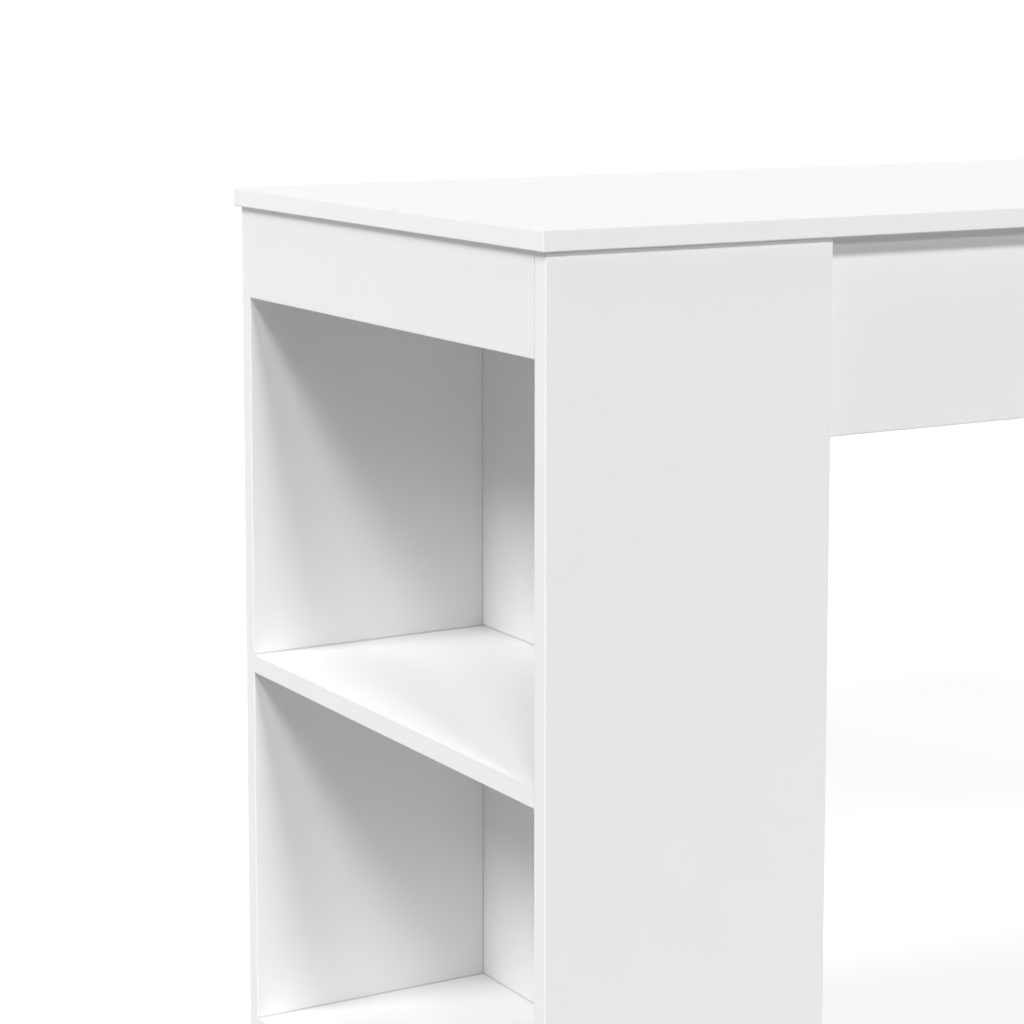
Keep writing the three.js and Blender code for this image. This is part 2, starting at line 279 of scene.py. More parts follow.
for name, facts in LAMPS.items():
    lamp = bpy.data.lights.new(f"lamp_{name}", "SUN")
    lamp.energy = facts["strength"]
    lamp.angle = math.radians(facts["spread"])
    hung = bpy.data.objects.new(f"lamp_{name}", lamp)
    hung.rotation_euler = (math.radians(90 - facts["up"]), 0, -math.radians(facts["round"]))
    bpy.context.scene.collection.objects.link(hung)
print("lamps:", ", ".join(LAMPS))

# %% [markdown]
# ## White board
#
# Each board is chipboard with a sheet of melamine pressed on both faces and a strip of plastic
# glued along the edges that show. So one board has three surfaces. The faces are white with a fine
# pearl texture. The edge bands are smoother, with a thin glue line where they meet the face. Raw
# chips show in the bores and on edges that nobody sees, such as the feet of the panels. Painting
# the mesh face by face would mean cutting it up. Instead one material for each board works out,
# from the board's own box, how far a point is from each side and how deep it is in the wood.

# %% Which edges are banded
BANDED = {
    "main_top": ("left", "right", "front", "back"),
    "return_top": ("left", "right", "front", "back"),
    "shelf_side_front": ("left", "right"),
    "shelf_side_rear": ("left", "right"),
    "shelf_back": (),
    "shelf_top_rail": ("foot",),
    "middle_shelf": ("left",),
    "bottom_shelf": ("left",),
    "plinth": (),
    "front_apron": ("foot",),
    "rear_apron": ("foot",),
    "right_end_panel": ("front", "back"),
    "return_end_panel": ("left", "right"),
    "return_apron_inner": ("foot",),
    "return_apron_outer": ("foot",),
}
print(f"{len(BANDED)} boards, {sum(map(len, BANDED.values()))} banded edges")

# %% [markdown]
# A finish starts as a new material with its shader. What is the same all over is set on the shader
# itself, and what varies comes from nodes on object coordinates, which for these meshes are the
# places on the desk in metres.


# %% A finish and its textures
class Finish(Bench):
    """One material: its shader, and the textures that feed it."""

    def __init__(self, name, constants):
        self.material = bpy.data.materials.new(name)
        self.material.use_nodes = True
        super().__init__(self.material.node_tree)
        self.shader = self.tree.nodes["Principled BSDF"]
        for socket, value in constants.items():
            self.shader.inputs[socket].default_value = value
        self.place = self.node("ShaderNodeTexCoord")["Object"]

    def set(self, socket, value):
        self.feed(self.shader.inputs[socket], value)

    def separate(self, vector):
        """The X, Y and Z of a vector, as three wires by name."""
        return self.node("ShaderNodeSeparateXYZ", {}, {"Vector": vector})

    def noise(self, size, detail=2.0, place=None):
        """A cloudy texture from 0 to 1, with features about `size` metres across."""
        sockets = {"Vector": place or self.place, "Scale": 1 / size, "Detail": detail}
        return self.node("ShaderNodeTexNoise", {}, sockets)["Fac"]

    def mix(self, amount, first, second):
        """A colour between two, by an amount from 0 to 1."""
        made = self.node("ShaderNodeMix", {"data_type": "RGBA"},
                         {"Factor": amount, "A": first, "B": second})
        return made["Result"]

    def ramp(self, value, stops):
        return self.node("ShaderNodeValToRGB", {"stops": stops}, {"Fac": value})["Color"]

    def bump(self, height, depth):
        """Relief of `depth` metres from a height of 0 to 1."""
        return self.node("ShaderNodeBump", {}, {"Height": height, "Distance": depth})["Normal"]


print("ready to mix finishes")

# %% [markdown]
# The chips are flakes of wood a few millimetres long, pale to mid brown, pressed flat and sawn
# through. The whites differ a little by kind: the shelves are a plain white, the tops a shade
# deeper, as painted shade that tones down the strong light on them, and the upright boards lean a
# trace to green. Each kind has the white and the shade that clouds its faces at random, and a
# duller white of painted shade for its upper arrises.

# %% Whites and wood tones
# Painted shade: a duller white on the upper arrises, which tones down the light that they catch.
ARRIS_SHADE_WHITE = paint(224, 226, 225)
# The tops' deeper white is painted shade for the strong light on them, and the shelves' third white
# is a duller painted shade on their upper arrises.
WHITES = {
    "upright": (paint(242.4, 244, 243.2), paint(240.4, 242, 241.2), ARRIS_SHADE_WHITE),
    "top": (paint(237, 237, 237), paint(235, 235, 235), ARRIS_SHADE_WHITE),
    "shelf": (paint(243.5, 243.5, 243.5), paint(241.5, 241.5, 241.5), paint(211, 213, 212)),
}
WOOD_STOPS = [
    (0.0, paint(150, 118, 82)), (0.4, paint(186, 154, 112)),
    (0.75, paint(206, 178, 138)), (1.0, paint(222, 198, 162)),
]
print(f"{len(WHITES)} kinds of board and {len(WOOD_STOPS)} wood tones")

# %% [markdown]
# A point's place in its board decides what it is made of, so the first thing to work out is how far
# it lies inside each of the six sides. The two sides that are nearest to each other are the board's
# faces, and the other four are its edges.


# %% Where a point is in its board
SIDES = (("left", "right"), ("front", "back"), ("foot", "head"))
UP_AXIS = 2


def thin_way(size):
    """The axis that a board is thinnest along: 0, 1 or 2."""
    return min(range(3), key=lambda axis: size[axis])


def kind_of_board(name, thin):
    """Whether a board is a top, a shelf or an upright."""
    if thin != UP_AXIS:
        return "upright"
    return "top" if name.endswith("top") else "shelf"


def distances_inside(place, low, high):
    """How far a point lies inside each side of a board's box."""
    inward = {}
    for axis, start, end, (first, last) in zip("XYZ", low, high, SIDES):
        inward[first], inward[last] = place[axis] - start, end - place[axis]
    return inward


def nearest(inward, sides):
    """The distance to the nearest of some sides."""
    found = inward[sides[0]]
    for side in sides[1:]:
        found = found.least(inward[side])
    return found


for name in BANDED:
    low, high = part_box(name)
    size = high - low
    print(f"{name}: {min(size) / MM:.0f} mm thick, {kind_of_board(name, thin_way(size))}")

# %% [markdown]
# Raw chips show where the drill or the saw went through the skin: in the bores, whose points lie
# deeper than the skin from every side, and on the feet of the panels that stand near the floor. The
# glue line runs on a face, as far in from its edge as the band is thick. The arrises of the bands
# have painted light: the upper ones a duller white, as painted shade that tones down the light they
# catch, and the others a brighter white, as a painted highlight. A material has no list of arrises,
# but their faces lean, so they are told by a normal that points along none of the axes.


# %% Chips, glue line and arrises
SKIN = 0.35 * MM
BAND_THICKNESS = 1.0 * MM
GLUE_HALF = 0.08 * MM
NEAR_FLOOR = 10 * MM
SQUARE_ON = 0.99
FLAT = 0.985
LEANS_UP = 0.17
BAND_WHITE = paint(243, 245, 244)
# Painted highlight: a brighter white on the arrises that don't lean up.
ARRIS_HIGHLIGHT_WHITE = paint(246, 248, 247)
GLUE_GREY = paint(205, 207, 205)


def raw_chips(inward, thin, facing, foot_height):
    """1 in the bores and on a sawn foot near the floor, and 0 elsewhere."""
    edges = [side for axis, pair in enumerate(SIDES) if axis != thin for side in pair]
    raw = (nearest(inward, SIDES[thin]) > SKIN) * (nearest(inward, edges) > SKIN)
    if foot_height < NEAR_FLOOR and thin != UP_AXIS:
        raw = raw.most((facing["Z"] < -SQUARE_ON) * (inward["foot"] < SKIN))
    return raw


def glue_line(inward, banded):
    """1 where the glue shows between a band and the face, and 0 elsewhere."""
    return abs(nearest(inward, banded) - BAND_THICKNESS) < GLUE_HALF


def band_colour(finish, facing, arris_shade):
    """White on the flat of a band, painted shade on its upper arrises and a painted highlight on
    the others.
    """
    flat = abs(facing["X"]).most(abs(facing["Y"])).most(abs(facing["Z"])) > FLAT
    arris = finish.mix(facing["Z"] > LEANS_UP, ARRIS_HIGHLIGHT_WHITE, arris_shade)
    return finish.mix(flat, arris, BAND_WHITE)


print(f"bands {BAND_THICKNESS / MM:.0f} mm thick, glue lines {2 * GLUE_HALF / MM:.2f} mm wide")

# %% [markdown]
# Where a shelf meets the uprights, and in the corner of the back, a fine dark line of painted shade
# is drawn in the finish of the uprights. It stands for the shade in a gap that is too fine to
# model. Each line is a slim box, and a point is in it when it lies between two corners of the box
# along X, Y and Z.


# %% Painted shade in the seams
SEAM_REACH = 0.5 * MM
SEAM_WIDTH = 1.6 * MM
SEAM_CLEAR = 0.02 * MM
# Painted shade: the grey of the dark lines in the seams.
SEAM_SHADE_GREY = paint(217, 219, 218)


def inside(place, low, high):
    """1 at points between two corners of a box, and 0 elsewhere."""
    held = 1.0
    for axis, start, end in zip("XYZ", low, high):
        held = (abs(place[axis] - (start + end) / 2) < (end - start) / 2) * held
    return held


def painted_seam_shade(place):
    """1 in the lines of painted shade above each shelf and along the back's corner, and 0
    elsewhere.
    """
    reach = Vector((SEAM_REACH, SEAM_REACH, 0))
    marks = 0.0
    for shelf in ("middle_shelf", "bottom_shelf"):
        low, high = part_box(shelf)
        low.z, high.z = high.z, high.z + SEAM_WIDTH
        marks = inside(place, low - reach, high + reach).most(marks)
    low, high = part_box("shelf_back")
    low.x, high.x = low.x - SEAM_WIDTH / 2, low.x - SEAM_CLEAR
    reach = Vector((0, SEAM_REACH, 0))
    return inside(place, low - reach, high + reach).most(marks)


print(f"seams {SEAM_WIDTH / MM:.1f} mm wide")

# %% [markdown]
# Now the finish itself, from the skin inwards: clouded white on the faces, bands on the edges, the
# glue line and the painted shade of the seams on top, and chips wherever the skin is cut. A Voronoi
# texture gives each flake its own cell, and its random cell colour becomes one of the wood tones.
# Every board gets a material of its own, because its box is written into it.


# %% White board finish
FACE_ROUGHNESS = 0.50
BAND_ROUGHNESS = 0.44
CHIP_ROUGHNESS = 0.9
PEARL_ROUGHNESS = 0.10
PEARL_RELIEF = 0.12
RELIEF = 0.15 * MM
GLUE_SHOWS = 0.6
FLAKE = 2.2 * MM


def board_finish(name, banded):
    """The finish of one board, with the edges in `banded` covered and the rest raw or hidden."""
    low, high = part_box(name)
    thin = thin_way(high - low)
    white, shade, arris_shade = WHITES[kind_of_board(name, thin)]
    finish = Finish(f"white_board_{name}", {"IOR": 1.5, "Specular IOR Level": 0.25})
    place = finish.separate(finish.place)
    facing = finish.separate(finish.node("ShaderNodeNewGeometry")["Normal"])
    inward = distances_inside(place, low, high)
    raw = raw_chips(inward, thin, facing, low.z)
    on_face = abs(facing["XYZ"[thin]]) > SQUARE_ON

    cloudy = finish.mix(finish.noise(60 * MM), white, shade)
    skin = finish.mix(on_face, band_colour(finish, facing, arris_shade), cloudy)
    if banded:
        glue = glue_line(inward, banded) * on_face
        skin = finish.mix(glue * GLUE_SHOWS, skin, GLUE_GREY)
    # Painted shade: dark lines in the seams round the shelves and along the back's corner.
    if name.startswith("shelf_"):
        skin = finish.mix(painted_seam_shade(place), skin, SEAM_SHADE_GREY)
    flakes = finish.node("ShaderNodeTexVoronoi", {}, {"Vector": finish.place, "Scale": 1 / FLAKE})
    finish.set("Base Color", finish.mix(raw, skin, finish.ramp(flakes["Color"], WOOD_STOPS)))

    pearl = finish.noise(0.9 * MM, detail=3.0)
    smooth = on_face.between(BAND_ROUGHNESS, FACE_ROUGHNESS) + (pearl - 0.5) * PEARL_ROUGHNESS
    finish.set("Roughness", smooth * (1 - raw) + raw * CHIP_ROUGHNESS)
    relief = pearl * on_face * (1 - raw) * PEARL_RELIEF + flakes["Distance"] * raw
    finish.set("Normal", finish.bump(relief, RELIEF))
    return finish.material


for name, banded in BANDED.items():
    solids[name].data.materials.clear()
    solids[name].data.materials.append(board_finish(name, banded))
    print(f"{name}: banded at {', '.join(banded) or 'no edge'}")

# %% [markdown]
# ## Tools for modelling by hand
#
# The small fittings are modelled as one would with the mouse: add a primitive at its size, pick
# faces or edges, then inset, extrude or bevel. With no mouse, the picking is done by place and
# direction. Operators act on everything that is selected, so each step starts from nothing
# selected.


# %% Picking by place and direction
TOUCH = 0.01 * MM


def deselect():
    bpy.ops.object.select_all(action="DESELECT")


def activate(piece):
    deselect()
    piece.select_set(True)
    bpy.context.view_layer.objects.active = piece


def pick_faces(piece, wanted):
    """In edit mode, selects just the faces whose middle and normal `wanted` accepts."""
    bpy.ops.mesh.select_mode(type="FACE")
    bpy.ops.mesh.select_all(action="DESELECT")
    shape = bmesh.from_edit_mesh(piece.data)
    for face in shape.faces:
        face.select_set(wanted(face.calc_center_median(), face.normal))
    bmesh.update_edit_mesh(piece.data)


def pick_edges(piece, wanted):
    """In edit mode, selects just the edges whose two ends `wanted` accepts."""
    bpy.ops.mesh.select_mode(type="EDGE")
    bpy.ops.mesh.select_all(action="DESELECT")
    shape = bmesh.from_edit_mesh(piece.data)
    for edge in shape.edges:
        edge.select_set(wanted(*(vertex.co for vertex in edge.verts)))
    bmesh.update_edit_mesh(piece.data)


def facing_up(middle, normal):
    return normal.z > SQUARE_ON


def facing_down(middle, normal):
    return normal.z < -SQUARE_ON


print(f"a place counts as touched from {TOUCH / MM:.2f} mm")

# %% [markdown]
# The last steps are the same for every piece. Spins and copies can leave doubled points or faces
# that look inwards, so those are merged and turned first. Then its place goes into its mesh, and
# faces that meet at more than an angle keep a sharp edge between them.


# %% Finishing a piece
def face_outwards(piece):
    """Merges doubles and makes every face of a closed shape point outwards."""
    activate(piece)
    bpy.ops.object.mode_set(mode="EDIT")
    bpy.ops.mesh.select_all(action="SELECT")
    bpy.ops.mesh.remove_doubles(threshold=TOUCH / 10)
    bpy.ops.mesh.normals_make_consistent(inside=False)
    bpy.ops.object.mode_set(mode="OBJECT")


def settle(piece, name, finish, sharp=35):
    """Gives a finished piece its name, place in its mesh, shading, finish and body."""
    activate(piece)
    bpy.ops.object.transform_apply(location=True, rotation=True, scale=True)
    bpy.ops.object.shade_smooth_by_angle(angle=math.radians(sharp))
    piece.name = piece.data.name = name
    piece.data.materials.clear()
    piece.data.materials.append(finish)
    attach(piece, "root")


print("ready to model")

# %% [markdown]
# ## Tight seams
#
# A solid that is seated between two boards keeps a hairline of 0.3 mm at each end, so that nothing
# overlaps. On the real desk the locks and dowels pull that gap shut, and the seam can hardly be
# seen. The rail and the two shelves show theirs in the open face of the column, so each is copied,
# its doubles are merged, and the faces of its ends are picked and moved out until only a trace of
# the gap is left. The smoothing angle is small, because a board is flat up to its arrises.

# %% Close the seams
HAIRLINE = 0.3 * MM
SEAM_LEFT = 0.03 * MM
ARRIS_ANGLE = 5

for name in ("shelf_top_rail", "middle_shelf", "bottom_shelf"):
    low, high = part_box(name)
    board = bpy.data.objects.new(name, solids[name].data.copy())
    bpy.context.scene.collection.objects.link(board)
    finish = board.data.materials[0]
    face_outwards(board)
    bpy.ops.mesh.customdata_custom_splitnormals_clear()
    bpy.ops.object.mode_set(mode="EDIT")
    for end, way in ((low.y, -1), (high.y, 1)):
        pick_faces(board, lambda middle, normal: abs(middle.y - end) < TOUCH)
        bpy.ops.transform.translate(value=(0, way * (HAIRLINE - SEAM_LEFT), 0))
    bpy.ops.object.mode_set(mode="OBJECT")
    settle(board, f"tight_{name}", finish, sharp=ARRIS_ANGLE)
    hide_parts(name)
    print(f"{board.name} is {board.dimensions.y / MM:.2f} mm long")

# %% [markdown]
# ## The finishes of the fittings
#
# Cams are die-cast zinc, dull and slightly mottled where the melt cooled. Bolts, screws and the
# joining plate are steel with a thin bright zinc coat, and the plate keeps the fine lines of the
# rollers along its length. Glides are moulded plastic with a matt grain. Metallic is the same all
# over, so it is set on the shader, and the roughness, with its small variation, comes from
# textures.


# %% Finishes of the fittings
def cast_zinc():
    finish = Finish("cast_zinc", {"Metallic": 1.0})
    mottle = finish.noise(1.6 * MM, detail=4.0)
    grain = finish.noise(0.25 * MM)
    finish.set("Base Color", finish.mix(mottle, paint(176, 178, 180), paint(205, 206, 207)))
    finish.set("Roughness", mottle.between(0.38, 0.52))
    finish.set("Normal", finish.bump(grain * 0.6 + mottle * 0.4, 0.03 * MM))
    return finish.material


def zinced_steel():
    finish = Finish("bright_zinc_coat", {"Metallic": 1.0})
    bloom = finish.noise(3.0 * MM, detail=3.0)
    finish.set("Base Color", finish.mix(bloom, paint(196, 200, 206), paint(214, 213, 206)))
    finish.set("Roughness", bloom.between(0.24, 0.36))
    finish.set("Normal", finish.bump(finish.noise(0.2 * MM), 0.008 * MM))
    return finish.material


def rolled_steel():
    finish = Finish("rolled_zinc_sheet", {"Metallic": 1.0})
    drawn_out = finish.node("ShaderNodeMapping", {},
                            {"Vector": finish.place, "Scale": (0.02, 1, 1)})
    lines = finish.noise(0.35 * MM, detail=4.0, place=drawn_out["Vector"])
    bloom = finish.noise(12.0 * MM)
    finish.set("Base Color", finish.mix(bloom, paint(198, 201, 205), paint(214, 214, 209)))
    finish.set("Roughness", lines.between(0.22, 0.44))
    finish.set("Normal", finish.bump(lines, 0.015 * MM))
    return finish.material


def glide_plastic():
    finish = Finish("moulded_plastic", {"IOR": 1.49})
    grain = finish.noise(0.3 * MM, detail=3.0)
    cloud = finish.noise(6.0 * MM)
    finish.set("Base Color", finish.mix(cloud, paint(226, 226, 222), paint(233, 233, 230)))
    finish.set("Roughness", grain.between(0.52, 0.64))
    finish.set("Normal", finish.bump(grain, 0.03 * MM))
    return finish.material


CAST_ZINC, ZINCED_STEEL = cast_zinc(), zinced_steel()
ROLLED_STEEL, GLIDE_PLASTIC = rolled_steel(), glide_plastic()
for name in bolts:
    solids[name].data.materials.clear()
    solids[name].data.materials.append(ZINCED_STEEL)
print(f"{len(bolts)} bolts in {ZINCED_STEEL.name}")

# %% [markdown]
# ## The cam lock
#
# A cam lock is a zinc drum in a blind bore in the face of a board. The bolt's head enters its
# mouth, and half a turn with a screwdriver draws the head in and the joint tight. It could be
# lathed as a profile, but its mouth, slot and recess break the round, so it is a cylinder with its
# rim bevelled and its face dished, from which cutters take the rest. It is modelled at the size of
# the solid that it stands for, with the bolt along X through the origin and the open face up.

# %% The drum of the cam
CAM_TOP = 7.2 * MM
DISH = 0.35 * MM
DISH_SLOPE = 0.25 * MM
RIM = 0.9 * MM
RIM_ROUND = 0.4 * MM

cam_low, cam_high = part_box(cams[0])
cam_height, _, cam_across = sorted(cam_high - cam_low)
CAM_RADIUS = cam_across / 2
CAM_FOOT = CAM_TOP - cam_height


def place_in_mesh():
    """Moves the place of the primitive just added into its mesh, and returns it."""
    bpy.ops.object.transform_apply(location=True, rotation=True, scale=True)
    return bpy.context.object


def on_top_rim(*ends):
    return all(end.z > CAM_TOP - TOUCH and end.xy.length > CAM_RADIUS - TOUCH for end in ends)


deselect()
bpy.ops.mesh.primitive_cylinder_add(
    vertices=64, radius=CAM_RADIUS, depth=cam_height, location=(0, 0, (CAM_TOP + CAM_FOOT) / 2))
cam = place_in_mesh()
bpy.ops.object.mode_set(mode="EDIT")
pick_faces(cam, facing_up)
bpy.ops.mesh.inset(thickness=RIM)
bpy.ops.mesh.inset(thickness=DISH_SLOPE, depth=-DISH)
pick_edges(cam, on_top_rim)
bpy.ops.mesh.bevel(offset=RIM_ROUND, segments=3)
bpy.ops.object.mode_set(mode="OBJECT")
print(f"drum {2 * CAM_RADIUS / MM:.1f} mm across and {cam_height / MM:.1f} mm high")

# %% [markdown]
# The screwdriver's cross is two tapered bars, cut one after the other. Beside it an arrow is sunk
# in the face, and points to the mouth, so that the fitter knows which way to set the drum before
# the bolt goes in. A cutter is a shape whose room is taken out of another by a Boolean modifier,
# and it reaches some way past the face, because two faces in one plane would leave it in doubt.


# %% Cross recess and arrow
ROOM = 1.0 * MM
CROSS_TAPER = 0.7
MOUTH_TURN = math.radians(-110)
ARROW_RADIUS = 1.1 * MM
ARROW_FROM_AXIS = 4.7 * MM
ARROW_SUNK = 0.25 * MM


def cut_away(piece, cutter):
    """Takes the room of `cutter` out of `piece`, and removes the cutter."""
    activate(piece)
    cut = piece.modifiers.new("cut", "BOOLEAN")
    cut.operation, cut.solver, cut.object = "DIFFERENCE", "EXACT", cutter
    bpy.ops.object.modifier_apply(modifier=cut.name)
    bpy.data.objects.remove(cutter)


def cut_cross(piece, top, length, width, depth):
    """Cuts a screwdriver's cross into a face at height `top`."""
    for sizes in ((length, width), (width, length)):
        deselect()
        bpy.ops.mesh.primitive_cube_add(
            size=1, location=(0, 0, top + (ROOM - depth) / 2), scale=(*sizes, depth + ROOM))
        bar = place_in_mesh()
        bpy.ops.object.mode_set(mode="EDIT")
        pick_faces(bar, facing_down)
        bpy.ops.transform.resize(value=(CROSS_TAPER, CROSS_TAPER, 1), center_override=(0, 0, 0))
        bpy.ops.object.mode_set(mode="OBJECT")
        cut_away(piece, bar)


def towards_mouth(distance, height):
    """A place at some distance from the drum's axis, on the side of its mouth."""
    return (distance * math.cos(MOUTH_TURN), distance * math.sin(MOUTH_TURN), height)


cut_cross(cam, top=CAM_TOP - DISH, length=6.5 * MM, width=1.3 * MM, depth=2.0 * MM)
deselect()
bpy.ops.mesh.primitive_cylinder_add(
    vertices=3, radius=ARROW_RADIUS, depth=ROOM,
    location=towards_mouth(ARROW_FROM_AXIS, CAM_TOP - DISH - ARROW_SUNK + ROOM / 2),
    rotation=(0, 0, MOUTH_TURN - math.pi / 2))
cut_away(cam, place_in_mesh())
print(f"cam has {len(cam.data.polygons)} faces with its cross and arrow")

# %% [markdown]
# Below the face the drum is hollow. The chamber takes the bolt's head, the mouth lets it in from
# the side, and a slot lets the bolt's neck run round the wall while the drum turns. The slot is a
# rectangle spun round the axis, as a cutter on a turntable would sweep it.

# %% Chamber, mouth and slot
HEAD_ROOM = 3.5 * MM
NECK_ROOM = 2.3 * MM
WALL = 2.0 * MM
SLOT_SWEEP = math.radians(140)

deselect()
chamber_foot = CAM_FOOT - ROOM
bpy.ops.mesh.primitive_cylinder_add(
    vertices=48, radius=CAM_RADIUS - WALL, depth=HEAD_ROOM - chamber_foot,
    location=(0, 0, (HEAD_ROOM + chamber_foot) / 2))
cut_away(cam, place_in_mesh())

deselect()
bpy.ops.mesh.primitive_cylinder_add(
    vertices=32, radius=HEAD_ROOM, depth=2 * CAM_RADIUS,
    location=towards_mouth(CAM_RADIUS, 0), rotation=(0, math.pi / 2, MOUTH_TURN))
cut_away(cam, place_in_mesh())

deselect()
bpy.ops.mesh.primitive_plane_add(size=1, rotation=(math.pi / 2, 0, 0))
slot = place_in_mesh()
bpy.ops.object.mode_set(mode="EDIT")
bpy.ops.mesh.select_all(action="SELECT")
bpy.ops.transform.resize(value=(2 * WALL + ROOM, 1, 2 * NECK_ROOM), center_override=(0, 0, 0))
bpy.ops.transform.translate(value=(CAM_RADIUS - WALL / 2, 0, 0))
bpy.ops.mesh.spin(steps=14, angle=SLOT_SWEEP, center=(0, 0, 0), axis=(0, 0, 1))
bpy.ops.object.mode_set(mode="OBJECT")
face_outwards(slot)
slot.rotation_euler.z = MOUTH_TURN
cut_away(cam, place_in_mesh())
face_outwards(cam)
print(f"finished cam has {len(cam.data.polygons)} faces")

# %% [markdown]
# Each cam's place is read from the solid that it replaces. The thin way of its box is the drum's
# axis, the bolt's box tells where the bolt runs, and the drum's face is on the side where the board
# around it has least wood. The three directions together make the matrix that turns a copy.


# %% Put a cam in each bore
def axis_vector(axis, sign):
    vector = Vector((0, 0, 0))
    vector[axis] = sign
    return vector


def board_round(low, high):
    """The box of the board that a fitting is let into."""
    for name in BANDED:
        board_low, board_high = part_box(name)
        if all(board_low[i] < low[i] and high[i] < board_high[i] for i in range(3)):
            return board_low, board_high
    raise LookupError("this fitting is in no board")


def cam_stand(name):
    """Where a cam stands and how it is turned, as a matrix."""
    low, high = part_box(name)
    board_low, board_high = board_round(low, high)
    axis = thin_way(high - low)
    opens_up = board_high[axis] - high[axis] < low[axis] - board_low[axis]
    face = axis_vector(axis, 1 if opens_up else -1)
    bolt_low, bolt_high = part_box(name.replace("cam_", "bolt_"))
    reach = (bolt_low + bolt_high) / 2 - (low + high) / 2
    run = max(range(3), key=lambda i: abs(reach[i]))
    along = axis_vector(run, math.copysign(1, reach[run]))
    origin = (low + high) / 2 - face * (CAM_TOP + CAM_FOOT) / 2
    turned = Matrix((along, face.cross(along), face)).transposed().to_4x4()
    return Matrix.Translation(origin) @ turned


def copy_to(model, stand, name, finish):
    """A copy with its own mesh of a model made at the origin, moved and turned as `stand` says."""
    activate(model)
    bpy.ops.object.duplicate()
    piece = bpy.context.object
    piece.matrix_world = stand
    settle(piece, name, finish)
    return piece


for name in cams:
    piece = copy_to(cam, cam_stand(name), f"lock_{name}", CAST_ZINC)
    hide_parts(name)
bpy.data.objects.remove(cam)
print(f"{len(cams)} cams in place")

# %% [markdown]
# ## The glides
#
# A glide is a plastic disc with a nail up its middle, driven into the foot of a panel so that the
# board stays clear of a wet floor. It starts as a short cylinder. Its lower rim is rounded, the
# middle of its foot is sunk round the nail's head, and its top is inset and extruded up as the pin,
# which ends in a point.

# %% Model a glide
glide_low, glide_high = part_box(glides[0])
GLIDE_RADIUS = (glide_high.x - glide_low.x) / 2
GLIDE_TOP = glide_high.z - glide_low.z
DISC_HEIGHT = 3.0 * MM
DISC_ROUND = 0.7 * MM
FOOT_RING = 2.6 * MM
FOOT_SLOPE = 0.4 * MM
FOOT_SUNK = 0.5 * MM
PIN_RADIUS = 1.5 * MM
PIN_POINT = 2.0 * MM
PIN_TIP = 0.15


def on_floor(*ends):
    return all(end.z < TOUCH for end in ends)


deselect()
bpy.ops.mesh.primitive_cylinder_add(
    vertices=48, radius=GLIDE_RADIUS, depth=DISC_HEIGHT, location=(0, 0, DISC_HEIGHT / 2))
glide = place_in_mesh()
bpy.ops.object.mode_set(mode="EDIT")
pick_edges(glide, on_floor)
bpy.ops.mesh.bevel(offset=DISC_ROUND, segments=4)
pick_faces(glide, facing_down)
bpy.ops.mesh.inset(thickness=FOOT_RING)
bpy.ops.mesh.inset(thickness=FOOT_SLOPE, depth=-FOOT_SUNK)
pick_faces(glide, facing_up)
bpy.ops.mesh.inset(thickness=GLIDE_RADIUS - PIN_RADIUS)
bpy.ops.mesh.extrude_region_move(
    TRANSFORM_OT_translate={"value": (0, 0, GLIDE_TOP - DISC_HEIGHT - PIN_POINT)})
bpy.ops.mesh.extrude_region_move(TRANSFORM_OT_translate={"value": (0, 0, PIN_POINT)})
bpy.ops.transform.resize(value=(PIN_TIP, PIN_TIP, 1), center_override=(0, 0, 0))
bpy.ops.object.mode_set(mode="OBJECT")
face_outwards(glide)
print(f"glide {2 * GLIDE_RADIUS / MM:.0f} mm across, {GLIDE_TOP / MM:.0f} mm with its pin")

# %% [markdown]
# There are two glides under each panel that stands on the floor. Each copy goes to the middle of
# the solid that it stands for, with its foot at that solid's lowest point, and stays upright.

# %% Set a glide under each foot
for name in glides:
    low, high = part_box(name)
    middle = (low + high) / 2
    stand = Matrix.Translation((middle.x, middle.y, low.z))
    piece = copy_to(glide, stand, f"moulded_{name}", GLIDE_PLASTIC)
    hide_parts(name)
bpy.data.objects.remove(glide)
print(f"{len(glides)} glides in place")

# %% [markdown]
# ## The joining plate
#
# The two tops only butt together, and a steel plate screwed under the seam keeps them level. The
# plate is a cube at the solid's size. Its four upright edges are rounded first, as a press rounds
# the corners of a blank, and then the rims of both faces a little.

# %% Model the plate
plate_low, plate_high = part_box("top_joining_plate")
plate_size = plate_high - plate_low
plate_middle = (plate_low + plate_high) / 2
CORNER_ROUND = 1.0 * MM
PLATE_RIM = 0.2 * MM

deselect()
bpy.ops.mesh.primitive_cube_add(size=1, location=plate_middle, scale=plate_size)
plate = place_in_mesh()
bpy.ops.object.mode_set(mode="EDIT")
pick_edges(plate, lambda one, other: abs(one.z - other.z) > plate_size.z / 2)
bpy.ops.mesh.bevel(offset=CORNER_ROUND, segments=4)
pick_faces(plate, lambda middle, normal: abs(normal.z) > SQUARE_ON)
bpy.ops.mesh.bevel(offset=PLATE_RIM, segments=2)
bpy.ops.object.mode_set(mode="OBJECT")
print(f"plate {plate_size.x / MM:.0f} by {plate_size.y / MM:.0f} by {plate_size.z / MM:.0f} mm")

# %% [markdown]
# The holes run in two rows, one for each top, so that every screw has wood of its own, and they are
# countersunk, so that the screw heads lie flush. Each is cut by a cone, wide end down, whose narrow
# end is extruded up past the plate. Ten cuts in a row would be slow on a dense mesh, but the plate
# has few faces.

# %% Cut its countersunk holes
HOLE_FROM_EDGE = 9.0 * MM
HOLE_PITCH = 90.0 * MM
HOLES_IN_ROW = 5
HOLE_RADIUS = 2.25 * MM
HEAD_RADIUS = 4.0 * MM
HEAD_PLAY = 0.1 * MM
SINK_DEPTH = 1.7 * MM
SINK_PAST = 0.05 * MM

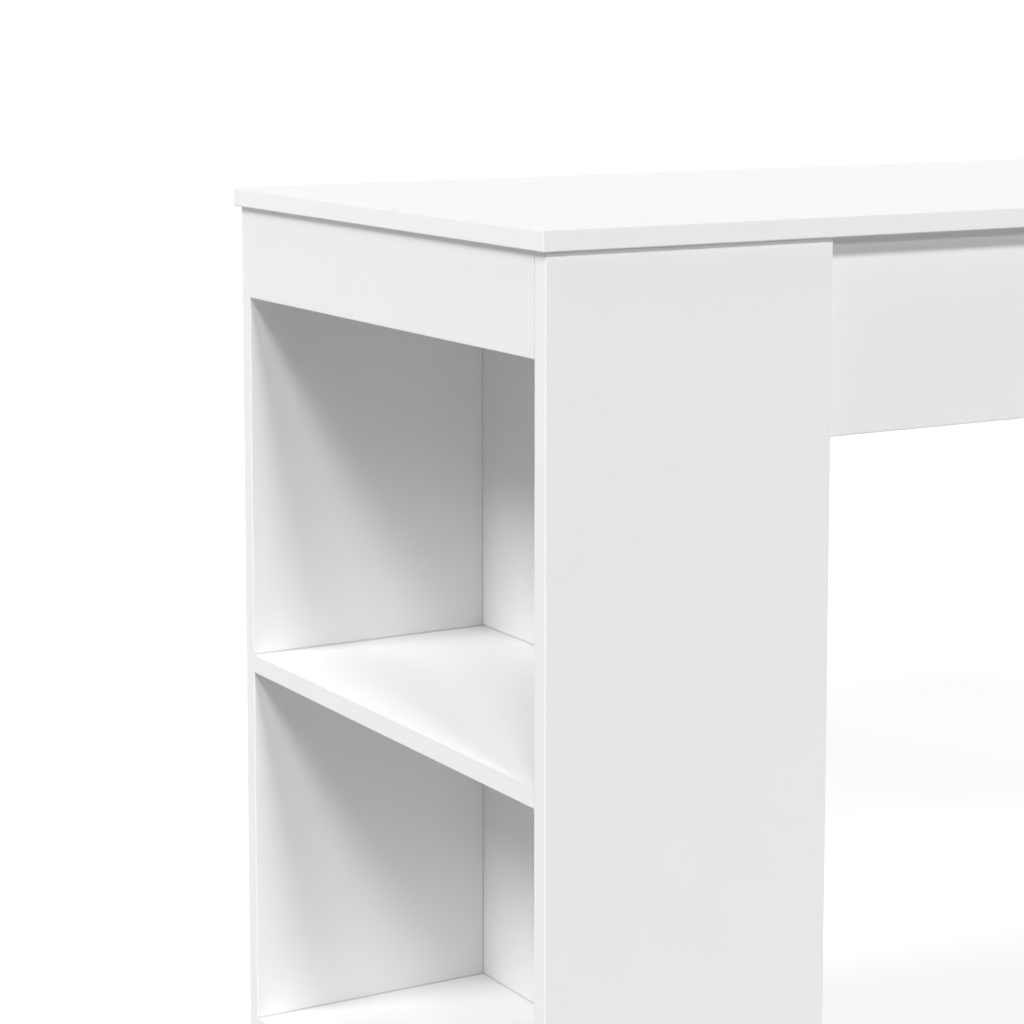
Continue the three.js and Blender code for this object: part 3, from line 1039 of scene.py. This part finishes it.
hole_places = [
    Vector((plate_middle.x + (number - (HOLES_IN_ROW - 1) / 2) * HOLE_PITCH, y, plate_low.z))
    for number in range(HOLES_IN_ROW)
    for y in (plate_low.y + HOLE_FROM_EDGE, plate_high.y - HOLE_FROM_EDGE)
]
for place in hole_places:
    deselect()
    bpy.ops.mesh.primitive_cone_add(
        vertices=40, radius1=HEAD_RADIUS + HEAD_PLAY, radius2=HOLE_RADIUS, depth=SINK_DEPTH,
        location=place + Vector((0, 0, SINK_DEPTH / 2 - SINK_PAST)))
    sink = place_in_mesh()
    bpy.ops.object.mode_set(mode="EDIT")
    pick_faces(sink, facing_up)
    bpy.ops.mesh.extrude_region_move(TRANSFORM_OT_translate={"value": (0, 0, ROOM)})
    bpy.ops.object.mode_set(mode="OBJECT")
    cut_away(plate, sink)
settle(plate, "countersunk_joining_plate", ROLLED_STEEL)
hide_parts("top_joining_plate")
print(f"{len(hole_places)} holes in the plate")

# %% [markdown]
# ## The plate's screws
#
# Ten countersunk chipboard screws hold the plate. The head is a cone whose narrow end is extruded
# down as the shank and then drawn to a point, with the same kind of cross recess as the cam's. It
# is modelled head up at the origin, and each copy is turned over and driven up into the tops.

# %% Model a screw
SCREW_HEAD = 1.9 * MM
HEAD_ROUND = 0.15 * MM
SHANK_RADIUS = 1.75 * MM
SHANK = 7.0 * MM
SCREW_POINT = 2.0 * MM
SCREW_TIP = 0.1


def on_head(*ends):
    return all(end.z > -TOUCH for end in ends)


deselect()
bpy.ops.mesh.primitive_cone_add(
    vertices=32, radius1=SHANK_RADIUS, radius2=HEAD_RADIUS - HEAD_PLAY, depth=SCREW_HEAD,
    location=(0, 0, -SCREW_HEAD / 2))
screw = place_in_mesh()
bpy.ops.object.mode_set(mode="EDIT")
pick_faces(screw, facing_down)
bpy.ops.mesh.extrude_region_move(TRANSFORM_OT_translate={"value": (0, 0, -SHANK)})
bpy.ops.mesh.extrude_region_move(TRANSFORM_OT_translate={"value": (0, 0, -SCREW_POINT)})
bpy.ops.transform.resize(value=(SCREW_TIP, SCREW_TIP, 1), center_override=(0, 0, 0))
pick_edges(screw, on_head)
bpy.ops.mesh.bevel(offset=HEAD_ROUND, segments=2)
bpy.ops.object.mode_set(mode="OBJECT")
cut_cross(screw, top=0.0, length=4.2 * MM, width=0.9 * MM, depth=1.3 * MM)
face_outwards(screw)
print(f"screw {(SCREW_HEAD + SHANK + SCREW_POINT) / MM:.1f} mm long")

# %% [markdown]
# A screw holds when its head sits in the countersink and its shank runs up into the board. Each
# copy is turned over about X, which points it up, and is sunk a trace below flush, so that no two
# faces lie in one plane and flicker.

# %% Drive the screws
SCREW_SUNK = 0.05 * MM

turned_over = Matrix.Rotation(math.pi, 4, "X")
for number, place in enumerate(hole_places, start=1):
    stand = Matrix.Translation(place + Vector((0, 0, SCREW_SUNK))) @ turned_over
    copy_to(screw, stand, f"plate_screw_{number}", ZINCED_STEEL)
bpy.data.objects.remove(screw)
print(f"{len(hole_places)} screws driven")
